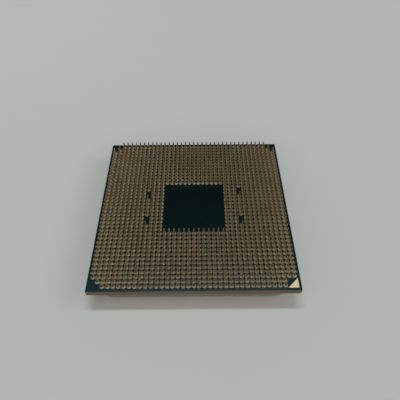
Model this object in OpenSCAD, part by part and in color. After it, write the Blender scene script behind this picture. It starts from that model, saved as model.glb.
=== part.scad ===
/* [Pin grid] */
// Sites along each side of the square grid, an odd number
grid_sites = 39; // [35:2:41]
// Distance between neighbouring sites
pin_pitch = 1.00; // [0.95:0.01:1.10]
// Sites along each side of the bare square in the middle, an odd number
bare_sites = 13; // [9:2:17]
// Centre of the outermost pins to the edge of the substrate
edge_margin = 1.00; // [0.90:0.05:1.50]

/* [Pins] */
// Diameter of a pin's shaft
pin_d = 0.31; // [0.25:0.01:0.36]
// Height of a pin's tip above the solder mask
pin_h = 1.65; // [1.40:0.05:2.20]
// Bevel round a pin's tip
tip_bevel = 0.02; // [0.01:0.01:0.08]
// Diameter of the nail head that a pin stands on
head_d = 0.64; // [0.56:0.01:0.70]
// Thickness of the nail head
head_t = 0.10; // [0.06:0.01:0.16]
// Width of the coned neck between the head and the shaft
neck_w = 0.06; // [0.03:0.01:0.07]
// Height of the coned neck
neck_h = 0.09; // [0.06:0.01:0.14]

/* [Pin solder] */
// Solder left under a pin's head
seat_t = 0.03; // [0.02:0.01:0.06]
// Solder film round the upper edge of a pin's head
film_t = 0.02; // [0.01:0.01:0.03]
// Reach of the solder's foot beyond the head
fillet_w = 0.13; // [0.05:0.01:0.15]

/* [Substrate] */
// Thickness of the glass-fibre core
core_t = 0.95; // [0.60:0.05:1.40]
// Thickness of the build-up layers on each side of the core
buildup_t = 0.12; // [0.08:0.01:0.20]
// Thickness of the copper plane on each side of the core
copper_t = 0.03; // [0.02:0.01:0.05]
// Set-back of the copper planes from the substrate's edge
copper_setback = 0.50; // [0.30:0.05:1.00]
// Thickness of the solder mask on each side
mask_t = 0.03; // [0.02:0.01:0.05]

/* [Corner marker] */
// Leg of the gold triangle
marker_leg = 2.00; // [1.20:0.10:2.20]
// Set-back of the triangle from the substrate's edges
marker_inset = 0.50; // [0.40:0.05:0.60]
// Thickness of the gold-plated pad
marker_t = 0.02; // [0.02:0.01:0.04]

/* [Heat spreader] */
// Set-back of the lid from the substrate's edge
lid_setback = 1.20; // [0.90:0.05:2.00]
// Radius of the lid's corners
lid_corner_r = 3.50; // [3.00:0.10:5.00]
// Thickness of the plate over the die
lid_plate_t = 2.30; // [1.80:0.05:3.20]
// Width of the foot that stands on the substrate
lid_foot_w = 2.60; // [2.20:0.10:2.90]
// Bevel round the contact face
lid_bevel = 0.30; // [0.15:0.05:0.60]
// Radius of the corners of the hollow for the die
hollow_corner_r = 2.00; // [1.00:0.10:3.00]

/* [Sealant] */
// Thickness of the bead under the lid's foot
sealant_t = 0.12; // [0.08:0.01:0.20]
// Set-back of the bead from both sides of the foot
sealant_inset = 0.40; // [0.20:0.05:0.60]
// Length of the vent left open in the bead
vent_gap = 4.00; // [2.00:0.50:8.00]

/* [Die] */
// Length of the die
die_l = 22.00; // [18.00:0.50:23.00]
// Width of the die
die_w = 9.60; // [7.00:0.20:12.00]
// Thickness of the die
die_t = 0.78; // [0.70:0.01:0.90]
// Thickness of the solder between the die and the lid
thermal_t = 0.36; // [0.30:0.02:0.50]
// Reach of that solder beyond the die's edges
thermal_lip = 0.20; // [0.10:0.05:0.40]
// Height of the bumps between the die and the substrate
bump_h = 0.08; // [0.06:0.01:0.10]
// Diameter of a bump
bump_d = 0.30; // [0.20:0.02:0.50]
// Distance between neighbouring bumps
bump_pitch = 1.20; // [0.80:0.10:2.00]
// Reach of the underfill beyond the die, along the substrate
underfill_w = 0.60; // [0.40:0.05:1.00]
// Height that the underfill climbs up the die's sides
underfill_climb = 0.35; // [0.20:0.05:0.50]
// Width of the underfill's rim at the top of its climb
underfill_rim = 0.05; // [0.03:0.01:0.10]

/* [Capacitors] */
// Length of a capacitor over its terminals
cap_l = 1.00; // [0.80:0.05:1.20]
// Width and height of a capacitor
cap_w = 0.50; // [0.30:0.05:0.60]
// Length of one terminal
cap_end = 0.25; // [0.15:0.01:0.30]
// Reach of the solder fillet in front of a terminal
cap_fillet = 0.15; // [0.10:0.01:0.20]
// Distance between neighbouring capacitors
cap_pitch = 2.40; // [1.60:0.10:3.20]
// Gap between the underfill and the capacitors' solder
cap_clearance = 0.30; // [0.20:0.05:0.50]

/* [Hidden] */
$fn = 32;

// Cones that follow the curve of a pin's solder, few because the pins are many
MENISCUS_STEPS = 2;

// Sites without a pin that keep the part from going into its socket the wrong way round
KEY_SITES = [[-10, 3], [-10, 4], [-10, -3], [-10, -4], [10, 4], [10, 5], [10, -3], [10, -4]];

GOLD = [0.80, 0.66, 0.38];
TIN = [0.55, 0.50, 0.40];
MASK_GREEN = [0.05, 0.17, 0.15];
LAMINATE = [0.40, 0.31, 0.22];
BUILDUP = [0.29, 0.30, 0.23];
COPPER = [0.72, 0.45, 0.30];
NICKEL = [0.66, 0.65, 0.62];

grid_half = (grid_sites - 1) / 2;
bare_half = (bare_sites - 1) / 2;
body_w = 2 * (grid_half * pin_pitch + edge_margin);

lid_w = body_w - 2 * lid_setback;
hollow_w = lid_w - 2 * lid_foot_w;
hollow_depth = die_t + bump_h + thermal_t - sealant_t;
lid_h = lid_plate_t + hollow_depth;

// Heights of the layers, from the lid's contact face up to the pins
die_z = lid_plate_t + thermal_t;
bump_z = die_z + die_t;
substrate_z = lid_h + sealant_t;
lid_buildup_z = substrate_z + mask_t;
core_z = lid_buildup_z + buildup_t;
pin_buildup_z = core_z + core_t;
pin_mask_z = pin_buildup_z + buildup_t;
pin_face_z = pin_mask_z + mask_t;

pin_r = pin_d / 2;
head_r = head_d / 2;
head_top = seat_t + head_t;
neck_top = head_top + neck_h;

// A site has no pin in the bare middle, at a key, at the three outermost sites of each corner,
// and at a fourth site of the marked corner
function steps_from_edge(site) = grid_half - abs(site);
function in_bare_middle(x, y) = max(abs(x), abs(y)) <= bare_half;
function at_corner(x, y) = steps_from_edge(x) + steps_from_edge(y) <= 1;
function at_marker(x, y) = x >= grid_half - 1 && y <= 1 - grid_half;
function at_key(x, y) = len([for (key = KEY_SITES) if (key == [x, y]) key]) > 0;
function has_pin(x, y) =
    !(in_bare_middle(x, y) || at_corner(x, y) || at_marker(x, y) || at_key(x, y));

// The curve of a solder meniscus, flat at its foot and steep at its top
function meniscus(foot_r, top_r, top_z, steps) = [
    for (i = [0:steps])
        [foot_r + (top_r - foot_r) * sin(90 * i / steps), top_z * (1 - cos(90 * i / steps))]
];

// Places of a centred row, as many as fit in its length
function row(length, pitch) = [for (i = [0:floor(length / pitch) - 1])
    (i - (floor(length / pitch) - 1) / 2) * pitch];

module on_sites(columns, rows)
    for (x = columns, y = rows)
        if (has_pin(x, y))
            translate([x * pin_pitch, y * pin_pitch, pin_face_z])
                children();

module on_back_bank() on_sites([-grid_half:grid_half], [bare_half + 1:grid_half]) children();
module on_front_bank() on_sites([-grid_half:grid_half], [-grid_half:-bare_half - 1]) children();
module on_left_bank() on_sites([-grid_half:-bare_half - 1], [-bare_half:bare_half]) children();
module on_right_bank() on_sites([bare_half + 1:grid_half], [-bare_half:bare_half]) children();

module rounded_square(side, r) {
    square([side, side - 2 * r], center = true);
    square([side - 2 * r, side], center = true);
    for (x = [-1, 1], y = [-1, 1])
        translate([x, y] * (side / 2 - r))
            circle(r);
}

// A square slab with round corners, standing on a bevelled face
module bevelled_slab(side, r, h, bevel) {
    half = side / 2;
    run = side - 2 * r;
    for (turn = [0, 90])
        rotate([90, 0, 90 + turn])
            linear_extrude(run, center = true)
                polygon([
                    [bevel - half, 0], [half - bevel, 0], [half, bevel],
                    [half, h], [-half, h], [-half, bevel]
                ]);
    for (x = [-1, 1], y = [-1, 1])
        translate([x * run / 2, y * run / 2, 0])
            rotate_extrude()
                polygon([[0, 0], [r - bevel, 0], [r, bevel], [r, h], [0, h]]);
}

module sheet(z, side, thickness)
    translate([-side / 2, -side / 2, z])
        cube([side, side, thickness]);

module on_die(z, margin, h)
    translate([-die_l / 2 - margin, -die_w / 2 - margin, z])
        cube([die_l + 2 * margin, die_w + 2 * margin, h]);

module on_bumps()
    for (x = row(die_l, bump_pitch), y = row(die_w, bump_pitch))
        translate([x, y, bump_z])
            children();

// Both rows along the die's long sides and both columns along its short sides
module on_capacitors() {
    reach = underfill_w + cap_clearance + cap_fillet + cap_l / 2;
    for (side = [-1, 1]) {
        for (x = row(die_l, cap_pitch))
            translate([x, side * (die_w / 2 + reach), substrate_z])
                rotate(90)
                    children();
        for (y = row(die_w, cap_pitch))
            translate([side * (die_l / 2 + reach), y, substrate_z])
                children();
    }
}

module corner_triangle(z) {
    edge = body_w / 2 - marker_inset;
    translate([edge, -edge, z])
        linear_extrude(marker_t)
            polygon([[0, 0], [0, marker_leg], [-marker_leg, 0]]);
}

module pin()
    rotate_extrude()
        polygon([
            [0, seat_t], [head_r, seat_t], [head_r, head_top], [pin_r + neck_w, head_top],
            [pin_r, neck_top], [pin_r, pin_h - tip_bevel], [pin_r - tip_bevel, pin_h], [0, pin_h]
        ]);

// Solder that wets the pad, climbs over the head and ends on the pin's neck
module pin_solder()
    rotate_extrude()
        polygon(concat(
            [[0, 0]],
            meniscus(head_r + fillet_w, head_r + film_t, head_top, MENISCUS_STEPS),
            [[pin_r, neck_top], [pin_r + neck_w, head_top], [head_r, head_top]],
            [[head_r, seat_t], [0, seat_t]]
        ));

module heat_spreader()
    color(NICKEL)
        difference() {
            bevelled_slab(lid_w, lid_corner_r, lid_h, lid_bevel);
            translate([0, 0, lid_plate_t])
                linear_extrude(lid_h)
                    rounded_square(hollow_w, hollow_corner_r);
        }

module lid_sealant() {
    outer_w = lid_w - 2 * sealant_inset;
    bead_w = lid_foot_w - 2 * sealant_inset;
    outer_r = lid_corner_r - sealant_inset;
    color([0.10, 0.10, 0.11])
        translate([0, 0, lid_h])
            linear_extrude(sealant_t)
                difference() {
                    rounded_square(outer_w, outer_r);
                    rounded_square(outer_w - 2 * bead_w, outer_r - bead_w);
                    translate([-outer_w / 2, 0])
                        square([2 * lid_foot_w, vent_gap], center = true);
                }
}

module thermal_solder()
    color([0.74, 0.75, 0.77])
        on_die(lid_plate_t, thermal_lip, thermal_t);

module silicon_die()
    color([0.30, 0.31, 0.34])
        on_die(die_z, 0, die_t);

module die_bumps()
    color(TIN)
        on_bumps()
            cylinder(d = bump_d, h = bump_h);

module die_underfill() {
    depth = bump_h + underfill_climb;
    color([0.22, 0.16, 0.12])
        difference() {
            intersection() {
                underfill_ridge(die_l, die_w, depth, 0);
                underfill_ridge(die_w, die_l, depth, 90);
            }
            on_die(die_z, 0, die_t);
            on_bumps()
                cylinder(d = bump_d, h = bump_h);
        }
}

// A ridge across the die that narrows from the substrate to the rim of the underfill
module underfill_ridge(across, along, depth, turn) {
    foot = across / 2 + underfill_w;
    rim = across / 2 + underfill_rim;
    translate([0, 0, substrate_z])
        rotate([90, 0, turn])
            linear_extrude(along + 2 * underfill_w, center = true)
                polygon([[-foot, 0], [foot, 0], [rim, -depth], [-rim, -depth]]);
}

module capacitor_bodies() {
    body_l = cap_l - 2 * cap_end;
    color([0.62, 0.50, 0.38])
        on_capacitors()
            translate([-body_l / 2, -cap_w / 2, -cap_w])
                cube([body_l, cap_w, cap_w]);
}

module capacitor_terminals()
    color([0.75, 0.75, 0.73])
        on_capacitors()
            for (end = [0, 180])
                rotate(end)
                    translate([cap_l / 2 - cap_end, -cap_w / 2, -cap_w])
                        cube([cap_end, cap_w, cap_w]);

module capacitor_solder()
    color(TIN)
        on_capacitors()
            for (end = [0, 180])
                rotate(end)
                    translate([cap_l / 2, 0, 0])
                        rotate([90, 0, 0])
                            linear_extrude(cap_w, center = true)
                                polygon([[0, 0], [cap_fillet, 0], [0, -cap_w / 2]]);

module lid_side_mask()
    color(MASK_GREEN)
        sheet(substrate_z, body_w, mask_t);

module lid_side_marker()
    color(GOLD)
        corner_triangle(substrate_z - marker_t);

module lid_side_buildup()
    color(BUILDUP)
        difference() {
            sheet(lid_buildup_z, body_w, buildup_t);
            sheet(core_z - copper_t, body_w - 2 * copper_setback, buildup_t);
        }

module lid_side_copper()
    color(COPPER)
        sheet(core_z - copper_t, body_w - 2 * copper_setback, copper_t);

module substrate_core()
    color(LAMINATE)
        sheet(core_z, body_w, core_t);

module pin_side_copper()
    color(COPPER)
        sheet(pin_buildup_z, body_w - 2 * copper_setback, copper_t);

module pin_side_buildup()
    color(BUILDUP)
        difference() {
            sheet(pin_buildup_z, body_w, buildup_t);
            sheet(pin_buildup_z + copper_t - buildup_t, body_w - 2 * copper_setback, buildup_t);
        }

module pin_side_mask()
    color(MASK_GREEN)
        sheet(pin_mask_z, body_w, mask_t);

module pin_side_marker()
    color(GOLD)
        corner_triangle(pin_face_z);

module pins_back()
    color(GOLD)
        on_back_bank() pin();

module pins_front()
    color(GOLD)
        on_front_bank() pin();

module pins_left()
    color(GOLD)
        on_left_bank() pin();

module pins_right()
    color(GOLD)
        on_right_bank() pin();

module pin_solder_back()
    color(TIN)
        on_back_bank() pin_solder();

module pin_solder_front()
    color(TIN)
        on_front_bank() pin_solder();

module pin_solder_left()
    color(TIN)
        on_left_bank() pin_solder();

module pin_solder_right()
    color(TIN)
        on_right_bank() pin_solder();

heat_spreader();
lid_sealant();
thermal_solder();
silicon_die();
die_bumps();
die_underfill();
capacitor_bodies();
capacitor_terminals();
capacitor_solder();
lid_side_mask();
lid_side_marker();
lid_side_buildup();
lid_side_copper();
substrate_core();
pin_side_copper();
pin_side_buildup();
pin_side_mask();
pin_side_marker();
pins_back();
pins_front();
pins_left();
pins_right();
pin_solder_back();
pin_solder_front();
pin_solder_left();
pin_solder_right();
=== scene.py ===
import math

import bpy
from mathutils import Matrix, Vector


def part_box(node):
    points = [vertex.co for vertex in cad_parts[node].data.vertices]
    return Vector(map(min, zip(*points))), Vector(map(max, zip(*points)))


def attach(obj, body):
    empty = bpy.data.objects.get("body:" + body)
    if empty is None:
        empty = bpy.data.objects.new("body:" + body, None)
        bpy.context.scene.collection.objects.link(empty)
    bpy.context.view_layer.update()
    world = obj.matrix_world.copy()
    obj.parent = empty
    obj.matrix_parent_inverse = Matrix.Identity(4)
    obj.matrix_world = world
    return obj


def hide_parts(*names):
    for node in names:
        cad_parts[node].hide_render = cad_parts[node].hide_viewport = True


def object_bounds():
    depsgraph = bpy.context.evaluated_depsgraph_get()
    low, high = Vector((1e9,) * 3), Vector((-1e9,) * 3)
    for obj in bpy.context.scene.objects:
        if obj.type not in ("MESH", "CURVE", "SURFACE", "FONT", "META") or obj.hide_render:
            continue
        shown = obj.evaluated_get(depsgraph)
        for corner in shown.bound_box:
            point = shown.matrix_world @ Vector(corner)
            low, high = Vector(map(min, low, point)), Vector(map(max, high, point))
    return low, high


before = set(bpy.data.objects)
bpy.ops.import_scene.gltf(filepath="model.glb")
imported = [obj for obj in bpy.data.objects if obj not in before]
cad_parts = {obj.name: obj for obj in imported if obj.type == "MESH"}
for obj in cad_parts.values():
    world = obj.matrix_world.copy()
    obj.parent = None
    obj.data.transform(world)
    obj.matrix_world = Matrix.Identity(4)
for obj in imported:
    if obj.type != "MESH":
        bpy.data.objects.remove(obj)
cad_box = [list(corner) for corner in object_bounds()]


# Glass-fibre core
# The stiff middle of the board: woven glass cloth in brown epoxy, pressed flat and sawn to a square.
# Its sawn edge shows the plies as level streaks with paler yarn ends, quite dull.
MM = 0.001
YARN = 1.5 * MM
PLY = 0.09 * MM
SAW_DEPTH = 0.02 * MM


def linear(colour):
    """The linear RGBA of an sRGB hex colour."""
    parts = [int(colour[i:i + 2], 16) / 255 for i in (0, 2, 4)]
    return [p / 12.92 if p <= 0.04045 else ((p + 0.055) / 1.055) ** 2.4 for p in parts] + [1.0]


def add(tree, kind, sockets=None, **settings):
    """Adds a node: settings are its properties, and a socket takes a value or an output to link."""
    made = tree.nodes.new("ShaderNode" + kind)
    for name, value in settings.items():
        setattr(made, name, value)
    for name, value in (sockets or {}).items():
        if isinstance(value, bpy.types.NodeSocket):
            tree.links.new(value, made.inputs[name])
        else:
            made.inputs[name].default_value = value
    return made


def finish(name, **constants):
    """A material with these shader constants, its nodes, its shader and the place on the object."""
    made = bpy.data.materials.new(name)
    made.use_nodes = True
    tree = made.node_tree
    shader = tree.nodes["Principled BSDF"]
    for socket, value in constants.items():
        shader.inputs[socket.replace("_", " ")].default_value = value
    return made, tree, shader, add(tree, "TexCoord").outputs["Object"]


def dress(material, *nodes):
    """Gives CAD nodes a finish."""
    for name in nodes:
        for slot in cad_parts[name].material_slots:
            slot.material = material


glass_epoxy, tree, shader, place = finish("sawn_glass_epoxy", Roughness=0.75)
layered = add(tree, "Mapping", {"Vector": place, "Scale": (1 / YARN, 1 / YARN, 1 / PLY)}).outputs[0]
streaks = add(tree, "TexNoise", {"Vector": layered, "Scale": 1.0, "Detail": 3.0}).outputs["Fac"]
shade = add(tree, "Mix", {0: streaks, 6: linear("4f3e2a"), 7: linear("765d43")}, data_type="RGBA")
tree.links.new(shade.outputs[2], shader.inputs["Base Color"])
relief = add(tree, "Bump", {"Height": streaks, "Strength": 0.4, "Distance": SAW_DEPTH})
tree.links.new(relief.outputs[0], shader.inputs["Normal"])
dress(glass_epoxy, "substrate_core")


# Build-up layers
# Resin films laminated on both sides of the core, which carry the fine wiring.
# They are sawn with the core, so only a thin smooth band shows at the edge, darker and greener.
RESIN_MOTTLE = 0.5 * MM
buildup, tree, shader, place = finish("sawn_buildup_resin", Roughness=0.6)
mottle = add(tree, "TexNoise", {"Vector": place, "Scale": 1 / RESIN_MOTTLE, "Detail": 2.0}).outputs["Fac"]
shade = add(tree, "Mix", {0: mottle, 6: linear("3a3f30"), 7: linear("525641")}, data_type="RGBA")
tree.links.new(shade.outputs[2], shader.inputs["Base Color"])
dress(buildup, "lid_side_buildup", "pin_side_buildup")


# Copper planes
# Rolled foil bonded to both sides of the core, sealed in by the build-up layers.
# Satin metal with faint rolling lines, drawn wider than real ones so that they show.
ROLL_LENGTH = 4 * MM
ROLL_WIDTH = 0.2 * MM
copper, tree, shader, place = finish("rolled_copper_foil", Metallic=1.0)
stretch = (1 / ROLL_LENGTH, 1 / ROLL_WIDTH, 1 / ROLL_WIDTH)
rolled = add(tree, "Mapping", {"Vector": place, "Scale": stretch}).outputs[0]
lines = add(tree, "TexNoise", {"Vector": rolled, "Scale": 1.0}).outputs["Fac"]
shade = add(tree, "Mix", {0: lines, 6: linear("a8643f"), 7: linear("c98a63")}, data_type="RGBA")
tree.links.new(shade.outputs[2], shader.inputs["Base Color"])
dull = add(tree, "MapRange", {"Value": lines, "To Min": 0.3, "To Max": 0.5})
tree.links.new(dull.outputs[0], shader.inputs["Roughness"])
dress(copper, "lid_side_copper", "pin_side_copper")


# Solder mask
# A coat of green photo-cured epoxy on both faces of the board, printed wet and baked.
# It is nearly black, with a faint orange peel, and the copper under it sends back a blue-green sheen.
SHEEN = (0.33, 0.93, 1.0, 1.0)
MASK_CLOUD = 6 * MM
MASK_PEEL = 0.5 * MM
PEEL_DEPTH = 0.01 * MM
solder_mask, tree, shader, place = finish(
    "green_solder_mask", IOR=1.5, Specular_IOR_Level=0.6, Specular_Tint=SHEEN
)
cloud = add(tree, "TexNoise", {"Vector": place, "Scale": 1 / MASK_CLOUD, "Detail": 2.0}).outputs["Fac"]
shade = add(tree, "Mix", {0: cloud, 6: linear("010405"), 7: linear("020709")}, data_type="RGBA")
tree.links.new(shade.outputs[2], shader.inputs["Base Color"])
peel = add(tree, "TexNoise", {"Vector": place, "Scale": 1 / MASK_PEEL, "Detail": 2.0}).outputs["Fac"]
dull = add(tree, "MapRange", {"Value": peel, "To Min": 0.18, "To Max": 0.24})
tree.links.new(dull.outputs[0], shader.inputs["Roughness"])
relief = add(tree, "Bump", {"Height": peel, "Strength": 0.25, "Distance": PEEL_DEPTH})
tree.links.new(relief.outputs[0], shader.inputs["Normal"])
dress(solder_mask, "lid_side_mask", "pin_side_mask")


# Corner markers
# Triangles of copper left open in the mask on both faces and plated with nickel and gold.
# Pale matte gold with the grain of the etched copper, drawn coarser than it is so that it shows.
ETCH_GRAIN = 0.12 * MM
gold_pad, tree, shader, place = finish("immersion_gold", Metallic=1.0)
grain = add(tree, "TexNoise", {"Vector": place, "Scale": 1 / ETCH_GRAIN, "Detail": 3.0}).outputs["Fac"]
shade = add(tree, "Mix", {0: grain, 6: linear("b8a481"), 7: linear("cbb996")}, data_type="RGBA")
tree.links.new(shade.outputs[2], shader.inputs["Base Color"])
dull = add(tree, "MapRange", {"Value": grain, "To Min": 0.4, "To Max": 0.6})
tree.links.new(dull.outputs[0], shader.inputs["Roughness"])
dress(gold_pad, "lid_side_marker", "pin_side_marker")


# Pin solder
# A ring of solder melted round each pin's head: it wets the pad and climbs over the head to the neck.
# Gold from the pins dissolved in it, so it is a satin tan metal, a little different from joint to joint.
BANKS = ("back", "front", "left", "right")
PITCH = 1.0 * MM
SOLDER_STAIN = 0.4 * MM

# Radii and heights of the joint, and of the pin's head that it holds, in mm over the mask
HEAD_R = 0.32
HEAD_LOW = 0.03
HEAD_TOP = 0.13
NECK_R = 0.215
NECK_TOP = 0.22
SHAFT_R = 0.155
FOOT_R = 0.45
RIM_R = 0.34
RIM_TOP = 0.125
FOOT_STEPS = 4
QUARTER = [math.pi / 2 * i / FOOT_STEPS for i in range(FOOT_STEPS + 1)]
FOOT = [(FOOT_R + (RIM_R - FOOT_R) * math.sin(a), RIM_TOP * (1 - math.cos(a))) for a in QUARTER]
CROWN = [(0.312, 0.143), (0.250, 0.163), (0.200, 0.187), (SHAFT_R, NECK_TOP)]
CUP = [(NECK_R, HEAD_TOP), (HEAD_R, HEAD_TOP), (HEAD_R, HEAD_LOW)]

# Each turned form is unrolled into its own cell of a map, its flat ends at the cell's foot and top
SIDES = 12
SHARP = math.radians(35)
END_R = 0.4
CELL_GAP = 0.02
pin_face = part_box("pin_side_mask")[1].z
ring = [(math.cos(2 * math.pi * k / SIDES), math.sin(2 * math.pi * k / SIDES)) for k in range(SIDES)]


def turned_bank(name, node, profile):
    """One turned form on each grid site of a CAD bank, from a profile of radii and heights."""
    cad_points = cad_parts[node].data.vertices
    sites = sorted({(round(p.co.x / PITCH), round(p.co.y / PITCH)) for p in cad_points})
    left = min(column for column, row in sites)
    low = min(row for column, row in sites)
    columns = max(column for column, row in sites) - left + 1
    rows = max(row for column, row in sites) - low + 1
    bands = len(profile) + 1
    points = []
    faces = []
    unrolled = []
    for column, row in sites:
        first = len(points)
        for radius, height in profile:
            r = radius * MM
            z = pin_face + height * MM
            points += [(column * PITCH + r * x, row * PITCH + r * y, z) for x, y in ring]
        flat = []
        for i in range(len(profile) - 1):
            for k in range(SIDES):
                corners = ((k, i), (k + 1, i), (k + 1, i + 1), (k, i + 1))
                faces.append([first + level * SIDES + turn % SIDES for turn, level in corners])
                flat += [(turn / SIDES, (level + 1) / bands) for turn, level in corners]
        last = first + (len(profile) - 1) * SIDES
        faces.append([first + k for k in reversed(range(SIDES))])
        flat += [(0.5 - END_R * x, (0.5 + END_R * y) / bands) for x, y in reversed(ring)]
        faces.append([last + k for k in range(SIDES)])
        flat += [(0.5 + END_R * x, 1 - (0.5 + END_R * y) / bands) for x, y in ring]
        for u, v in flat:
            inset = CELL_GAP + (1 - 2 * CELL_GAP) * u
            unrolled += [(column - left + inset) / columns, (row - low + v) / rows]
    mesh = bpy.data.meshes.new(name)
    mesh.from_pydata(points, [], faces)
    mesh.polygons.foreach_set("use_smooth", [True] * len(faces))
    mesh.set_sharp_from_angle(angle=SHARP)
    mesh.uv_layers.new(name="OFBake").uv.foreach_set("vector", unrolled)
    piece = bpy.data.objects.new(name, mesh)
    bpy.context.scene.collection.objects.link(piece)
    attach(piece, "root")
    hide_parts(node)
    return piece


def own_tone(tree, place):
    """A chance value for each grid site, the same all over the pin or joint that stands there."""
    half = (PITCH / 2, PITCH / 2, 0)
    level = add(tree, "VectorMath", {0: place, 1: (1, 1, 0), 2: half}, operation="MULTIPLY_ADD").outputs[0]
    site = add(tree, "VectorMath", {0: level, 1: (PITCH, PITCH, PITCH)}, operation="SNAP").outputs[0]
    return add(tree, "TexWhiteNoise", {"Vector": site}).outputs["Value"]


pin_solder, tree, shader, place = finish("gold_stained_solder", Metallic=1.0)
stain = add(tree, "TexNoise", {"Vector": place, "Scale": 1 / SOLDER_STAIN, "Detail": 2.0}).outputs["Fac"]
tone = add(tree, "Math", {0: own_tone(tree, place), 1: stain}, operation="MULTIPLY").outputs[0]
shade = add(tree, "Mix", {0: tone, 6: linear("8a7e67"), 7: linear("a3977e")}, data_type="RGBA")
tree.links.new(shade.outputs[2], shader.inputs["Base Color"])
dull = add(tree, "MapRange", {"Value": stain, "To Min": 0.4, "To Max": 0.55})
tree.links.new(dull.outputs[0], shader.inputs["Roughness"])
for bank in BANKS:
    joints = turned_bank("solder_joints_" + bank, "pin_solder_" + bank, FOOT + CROWN + CUP)
    joints.data.materials.append(pin_solder)


# Pins
# Nail-head pins of copper alloy, plated with nickel and a thin coat of gold, each soldered on its head.
# Pale gold with a smooth drawn surface, a little different from pin to pin, and flat cut ends.
PIN_H = 1.65
TIP_BEVEL = 0.02
DRAW_MARK = 0.3 * MM
HEAD = [(HEAD_R, HEAD_LOW), (HEAD_R, HEAD_TOP)]
NECK = [(NECK_R, HEAD_TOP), (0.178, 0.166), (SHAFT_R, NECK_TOP)]
SHAFT_END = [(SHAFT_R, PIN_H - TIP_BEVEL), (SHAFT_R - TIP_BEVEL, PIN_H)]
pin_gold, tree, shader, place = finish("gold_plated_pin", Metallic=1.0)
drawn = add(tree, "TexNoise", {"Vector": place, "Scale": 1 / DRAW_MARK, "Detail": 2.0}).outputs["Fac"]
tone = add(tree, "Math", {0: own_tone(tree, place), 1: drawn}, operation="MULTIPLY").outputs[0]
shade = add(tree, "Mix", {0: tone, 6: linear("c1ad8b"), 7: linear("d7c6a2")}, data_type="RGBA")
tree.links.new(shade.outputs[2], shader.inputs["Base Color"])
dull = add(tree, "MapRange", {"Value": drawn, "To Min": 0.12, "To Max": 0.2})
tree.links.new(dull.outputs[0], shader.inputs["Roughness"])
for bank in BANKS:
    pins = turned_bank("nail_head_pins_" + bank, "pins_" + bank, HEAD + NECK + SHAFT_END)
    pins.data.materials.append(pin_gold)


# Die and its bumps
# A thinned slab of silicon, lapped on its back and hung by solder bumps from the board.
# Dark grey with a soft metallic shine. Its lapping marks are drawn coarser than they are, to show.
LAP_MARK = 0.3 * MM
silicon, tree, shader, place = finish("lapped_silicon", Metallic=0.6)
lapped = add(tree, "TexNoise", {"Vector": place, "Scale": 1 / LAP_MARK, "Detail": 4.0}).outputs["Fac"]
shade = add(tree, "Mix", {0: lapped, 6: linear("4d4f55"), 7: linear("63666d")}, data_type="RGBA")
tree.links.new(shade.outputs[2], shader.inputs["Base Color"])
dull = add(tree, "MapRange", {"Value": lapped, "To Min": 0.15, "To Max": 0.3})
tree.links.new(dull.outputs[0], shader.inputs["Roughness"])
dress(silicon, "silicon_die")

# The bumps, and the solder at the capacitors, are bright tin with a skin that frosted as it set
TIN_FROST = 0.15 * MM
bright_solder, tree, shader, place = finish("reflowed_tin_solder", Metallic=1.0)
frost = add(tree, "TexNoise", {"Vector": place, "Scale": 1 / TIN_FROST, "Detail": 3.0}).outputs["Fac"]
shade = add(tree, "Mix", {0: frost, 6: linear("a9a9a6"), 7: linear("cfcfcb")}, data_type="RGBA")
tree.links.new(shade.outputs[2], shader.inputs["Base Color"])
dull = add(tree, "MapRange", {"Value": frost, "To Min": 0.2, "To Max": 0.45})
tree.links.new(dull.outputs[0], shader.inputs["Roughness"])
dress(bright_solder, "die_bumps", "capacitor_solder")


# Underfill
# Filled epoxy that was drawn in under the die and cured, with a fillet up the die's sides.
# Nearly black and glossy, with a trace of filler grain, drawn coarser than it is so that it shows.
FILLER_GRAIN = 0.1 * MM
epoxy, tree, shader, place = finish("filled_epoxy", IOR=1.55)
filler = add(tree, "TexNoise", {"Vector": place, "Scale": 1 / FILLER_GRAIN, "Detail": 4.0}).outputs["Fac"]
shade = add(tree, "Mix", {0: filler, 6: linear("1d1612"), 7: linear("33271f")}, data_type="RGBA")
tree.links.new(shade.outputs[2], shader.inputs["Base Color"])
dull = add(tree, "MapRange", {"Value": filler, "To Min": 0.2, "To Max": 0.4})
tree.links.new(dull.outputs[0], shader.inputs["Roughness"])
dress(epoxy, "die_underfill")


# Capacitors
# Fired blocks of layered ceramic with tinned ends, soldered round the die.
# The blocks are tan and dull, with a fired grain drawn coarser than it is so that it shows.
FIRED_GRAIN = 0.2 * MM
ceramic, tree, shader, place = finish("fired_ceramic", IOR=1.6)
fired = add(tree, "TexNoise", {"Vector": place, "Scale": 1 / FIRED_GRAIN, "Detail": 4.0}).outputs["Fac"]
shade = add(tree, "Mix", {0: fired, 6: linear("8f6f52"), 7: linear("b08f6c")}, data_type="RGBA")
tree.links.new(shade.outputs[2], shader.inputs["Base Color"])
dull = add(tree, "MapRange", {"Value": fired, "To Min": 0.45, "To Max": 0.65})
tree.links.new(dull.outputs[0], shader.inputs["Roughness"])
dress(ceramic, "capacitor_bodies")

# The ends are plated with tin: silvery and matte, with a grain drawn coarser than it is
TIN_GRAIN = 0.08 * MM
tin, tree, shader, place = finish("matte_tin_plate", Metallic=1.0)
plate = add(tree, "TexNoise", {"Vector": place, "Scale": 1 / TIN_GRAIN, "Detail": 3.0}).outputs["Fac"]
shade = add(tree, "Mix", {0: plate, 6: linear("b4b4b0"), 7: linear("d2d2ce")}, data_type="RGBA")
tree.links.new(shade.outputs[2], shader.inputs["Base Color"])
dull = add(tree, "MapRange", {"Value": plate, "To Min": 0.35, "To Max": 0.55})
tree.links.new(dull.outputs[0], shader.inputs["Roughness"])
dress(tin, "capacitor_terminals")


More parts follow.
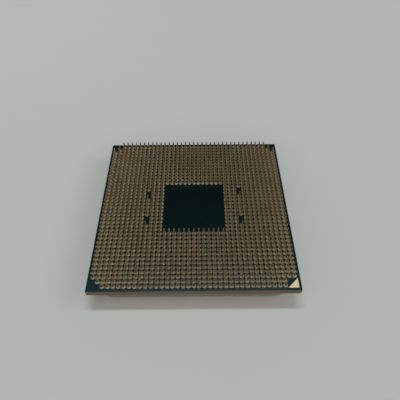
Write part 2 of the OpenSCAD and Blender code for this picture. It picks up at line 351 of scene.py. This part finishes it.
# Thermal solder
# A preform of indium melted between the die's back and the lid.
# Soft grey metal with a blotchy, frosted skin.
INDIUM_FROST = 0.8 * MM
indium, tree, shader, place = finish("frosted_indium", Metallic=1.0)
frost = add(tree, "TexNoise", {"Vector": place, "Scale": 1 / INDIUM_FROST, "Detail": 5.0}).outputs["Fac"]
shade = add(tree, "Mix", {0: frost, 6: linear("b0b2b5"), 7: linear("d3d5d8")}, data_type="RGBA")
tree.links.new(shade.outputs[2], shader.inputs["Base Color"])
dull = add(tree, "MapRange", {"Value": frost, "To Min": 0.35, "To Max": 0.6})
tree.links.new(dull.outputs[0], shader.inputs["Roughness"])
dress(indium, "thermal_solder")


# Sealant
# A bead of black silicone that holds the lid's foot to the board, open at one vent.
# Dull rubber with a faint mottle.
RUBBER_MOTTLE = 0.6 * MM
silicone, tree, shader, place = finish("cured_black_silicone", IOR=1.41)
mottle = add(tree, "TexNoise", {"Vector": place, "Scale": 1 / RUBBER_MOTTLE, "Detail": 3.0}).outputs["Fac"]
shade = add(tree, "Mix", {0: mottle, 6: linear("17181a"), 7: linear("26272a")}, data_type="RGBA")
tree.links.new(shade.outputs[2], shader.inputs["Base Color"])
dull = add(tree, "MapRange", {"Value": mottle, "To Min": 0.5, "To Max": 0.7})
tree.links.new(dull.outputs[0], shader.inputs["Roughness"])
dress(silicone, "lid_sealant")


# Heat spreader
# A lid forged from copper and plated with nickel, glued over the die and used as the contact face.
# Satin silver-grey with the fine tumbled texture of forged and plated metal.
TUMBLE_MARK = 0.25 * MM
TUMBLE_DEPTH = 0.01 * MM
nickel, tree, shader, place = finish("nickel_plate_on_copper", Metallic=1.0)
tumble = add(tree, "TexNoise", {"Vector": place, "Scale": 1 / TUMBLE_MARK, "Detail": 5.0}).outputs["Fac"]
shade = add(tree, "Mix", {0: tumble, 6: linear("aba79e"), 7: linear("c4c0b7")}, data_type="RGBA")
tree.links.new(shade.outputs[2], shader.inputs["Base Color"])
dull = add(tree, "MapRange", {"Value": tumble, "To Min": 0.28, "To Max": 0.42})
tree.links.new(dull.outputs[0], shader.inputs["Roughness"])
relief = add(tree, "Bump", {"Height": tumble, "Strength": 0.15, "Distance": TUMBLE_DEPTH})
tree.links.new(relief.outputs[0], shader.inputs["Normal"])
dress(nickel, "heat_spreader")


# Table top
# The part lies on its lid on a plain pale table top, which isn't part of the object.
# Its face is painted and dull, and lies a hair below the lid. Painted shade makes it a little darker to
# the right.
TABLE_SIDE = 3.0
TABLE_GAP = 0.005 * MM
# How far the painted shade reaches across the table, each way from the middle
PAINTED_SHADE_REACH = 60 * MM
PAINT_CLOUD = 60 * MM
CLOUD_SHARE = 0.3
half = TABLE_SIDE / 2
table_corners = [(-half, -half, 0), (half, -half, 0), (half, half, 0), (-half, half, 0)]
table_mesh = bpy.data.meshes.new("table_top")
table_mesh.from_pydata(table_corners, [], [(0, 1, 2, 3)])
table = bpy.data.objects.new("table_top", table_mesh)
bpy.context.scene.collection.objects.link(table)
table.location.z = cad_box[0][2] - TABLE_GAP
paint, tree, shader, place = finish("pale_paint", Roughness=0.7, Specular_IOR_Level=0.2)
cloud = add(tree, "TexNoise", {"Vector": place, "Scale": 1 / PAINT_CLOUD, "Detail": 3.0}).outputs["Fac"]
# Painted shade: the colour darkens evenly from left to right, mixed with the paint's own random cloud.
across = add(tree, "SeparateXYZ", {0: place}).outputs["X"]
painted_shade = add(tree, "MapRange", {"Value": across, "From Min": -PAINTED_SHADE_REACH, "From Max": PAINTED_SHADE_REACH}).outputs[0]
tone = add(tree, "Math", {0: cloud, 1: CLOUD_SHARE, 2: painted_shade}, operation="MULTIPLY_ADD").outputs[0]
shade = add(tree, "Mix", {0: tone, 6: linear("b6bbb7"), 7: linear("b2b5b1")}, data_type="RGBA")
tree.links.new(shade.outputs[2], shader.inputs["Base Color"])
table_mesh.materials.append(paint)


# Light
# A long strip lamp hangs above and a little behind the part, and a square one shines in from the right.
# The room is open and bright on the viewer's side, with pale walls and a dark ceiling on the far side.
LAMP_DISTANCE = 1.0


def hang_lamp(name, width, depth, energy, colour, turn):
    """A flat lamp that faces the part, hung above it and then swung by these angles in degrees."""
    light = bpy.data.lights.new(name, "AREA")
    light.shape = "RECTANGLE"
    light.size = width
    light.size_y = depth
    light.energy = energy
    light.color = colour
    lamp = bpy.data.objects.new(name, light)
    lamp.rotation_euler = [math.radians(angle) for angle in turn]
    lamp.location = lamp.rotation_euler.to_matrix().col[2] * LAMP_DISTANCE
    bpy.context.scene.collection.objects.link(lamp)


hang_lamp("strip_lamp", width=0.62, depth=0.10, energy=4.2, colour=(0.92, 1.01, 1.06), turn=(-14.5, 0, 0))
hang_lamp("side_lamp", width=0.35, depth=0.35, energy=1.7, colour=(1.0, 1.0, 1.0), turn=(0, 52, 0))

OPEN_SIDE = (0.0, -1.0, 0.0)
DAYLIGHT = (1.06, 0.97, 0.91, 1.0)
room = bpy.data.worlds.new("room")
room.use_nodes = True
tree = room.node_tree
direction = add(tree, "TexCoord").outputs["Generated"]
ahead = add(tree, "VectorMath", {0: direction, 1: OPEN_SIDE}, operation="DOT_PRODUCT").outputs["Value"]
opening = add(tree, "MapRange", {"Value": ahead, "From Min": -0.2, "From Max": 0.5}).outputs[0]
sky = add(tree, "Mix", {0: opening, 6: linear("312f2e"), 7: DAYLIGHT}, data_type="RGBA").outputs[2]
height = add(tree, "SeparateXYZ", {0: direction}).outputs["Z"]
low = add(tree, "MapRange", {"Value": height, "From Min": 0.70, "From Max": 0.30}).outputs[0]
walls = add(
    tree, "Mix", {0: low, 6: sky, 7: linear("c6c8c4")}, data_type="RGBA", blend_type="LIGHTEN"
)
tree.links.new(walls.outputs[2], tree.nodes["Background"].inputs["Color"])
bpy.context.scene.world = room


# Camera
# It looks down on the pins from the front, as in the photograph.
# Its place is in mm from the middle of the mask's face, and its turn is in degrees.
CAMERA_PLACE = (0.88, -55.24, 66.95)
CAMERA_TURN = (40.50, 0.08, -0.55)
camera_data = bpy.data.cameras.new("camera")
camera_data.sensor_width = 36.0
camera_data.lens = 36.2
camera_data.clip_start = 0.005
camera_data.clip_end = 10.0
camera = bpy.data.objects.new("camera", camera_data)
camera.location = [distance * MM for distance in CAMERA_PLACE]
camera.location.z += pin_face
camera.rotation_euler = [math.radians(angle) for angle in CAMERA_TURN]
bpy.context.scene.collection.objects.link(camera)
bpy.context.scene.camera = camera
bpy.context.scene.view_settings.view_transform = "Standard"
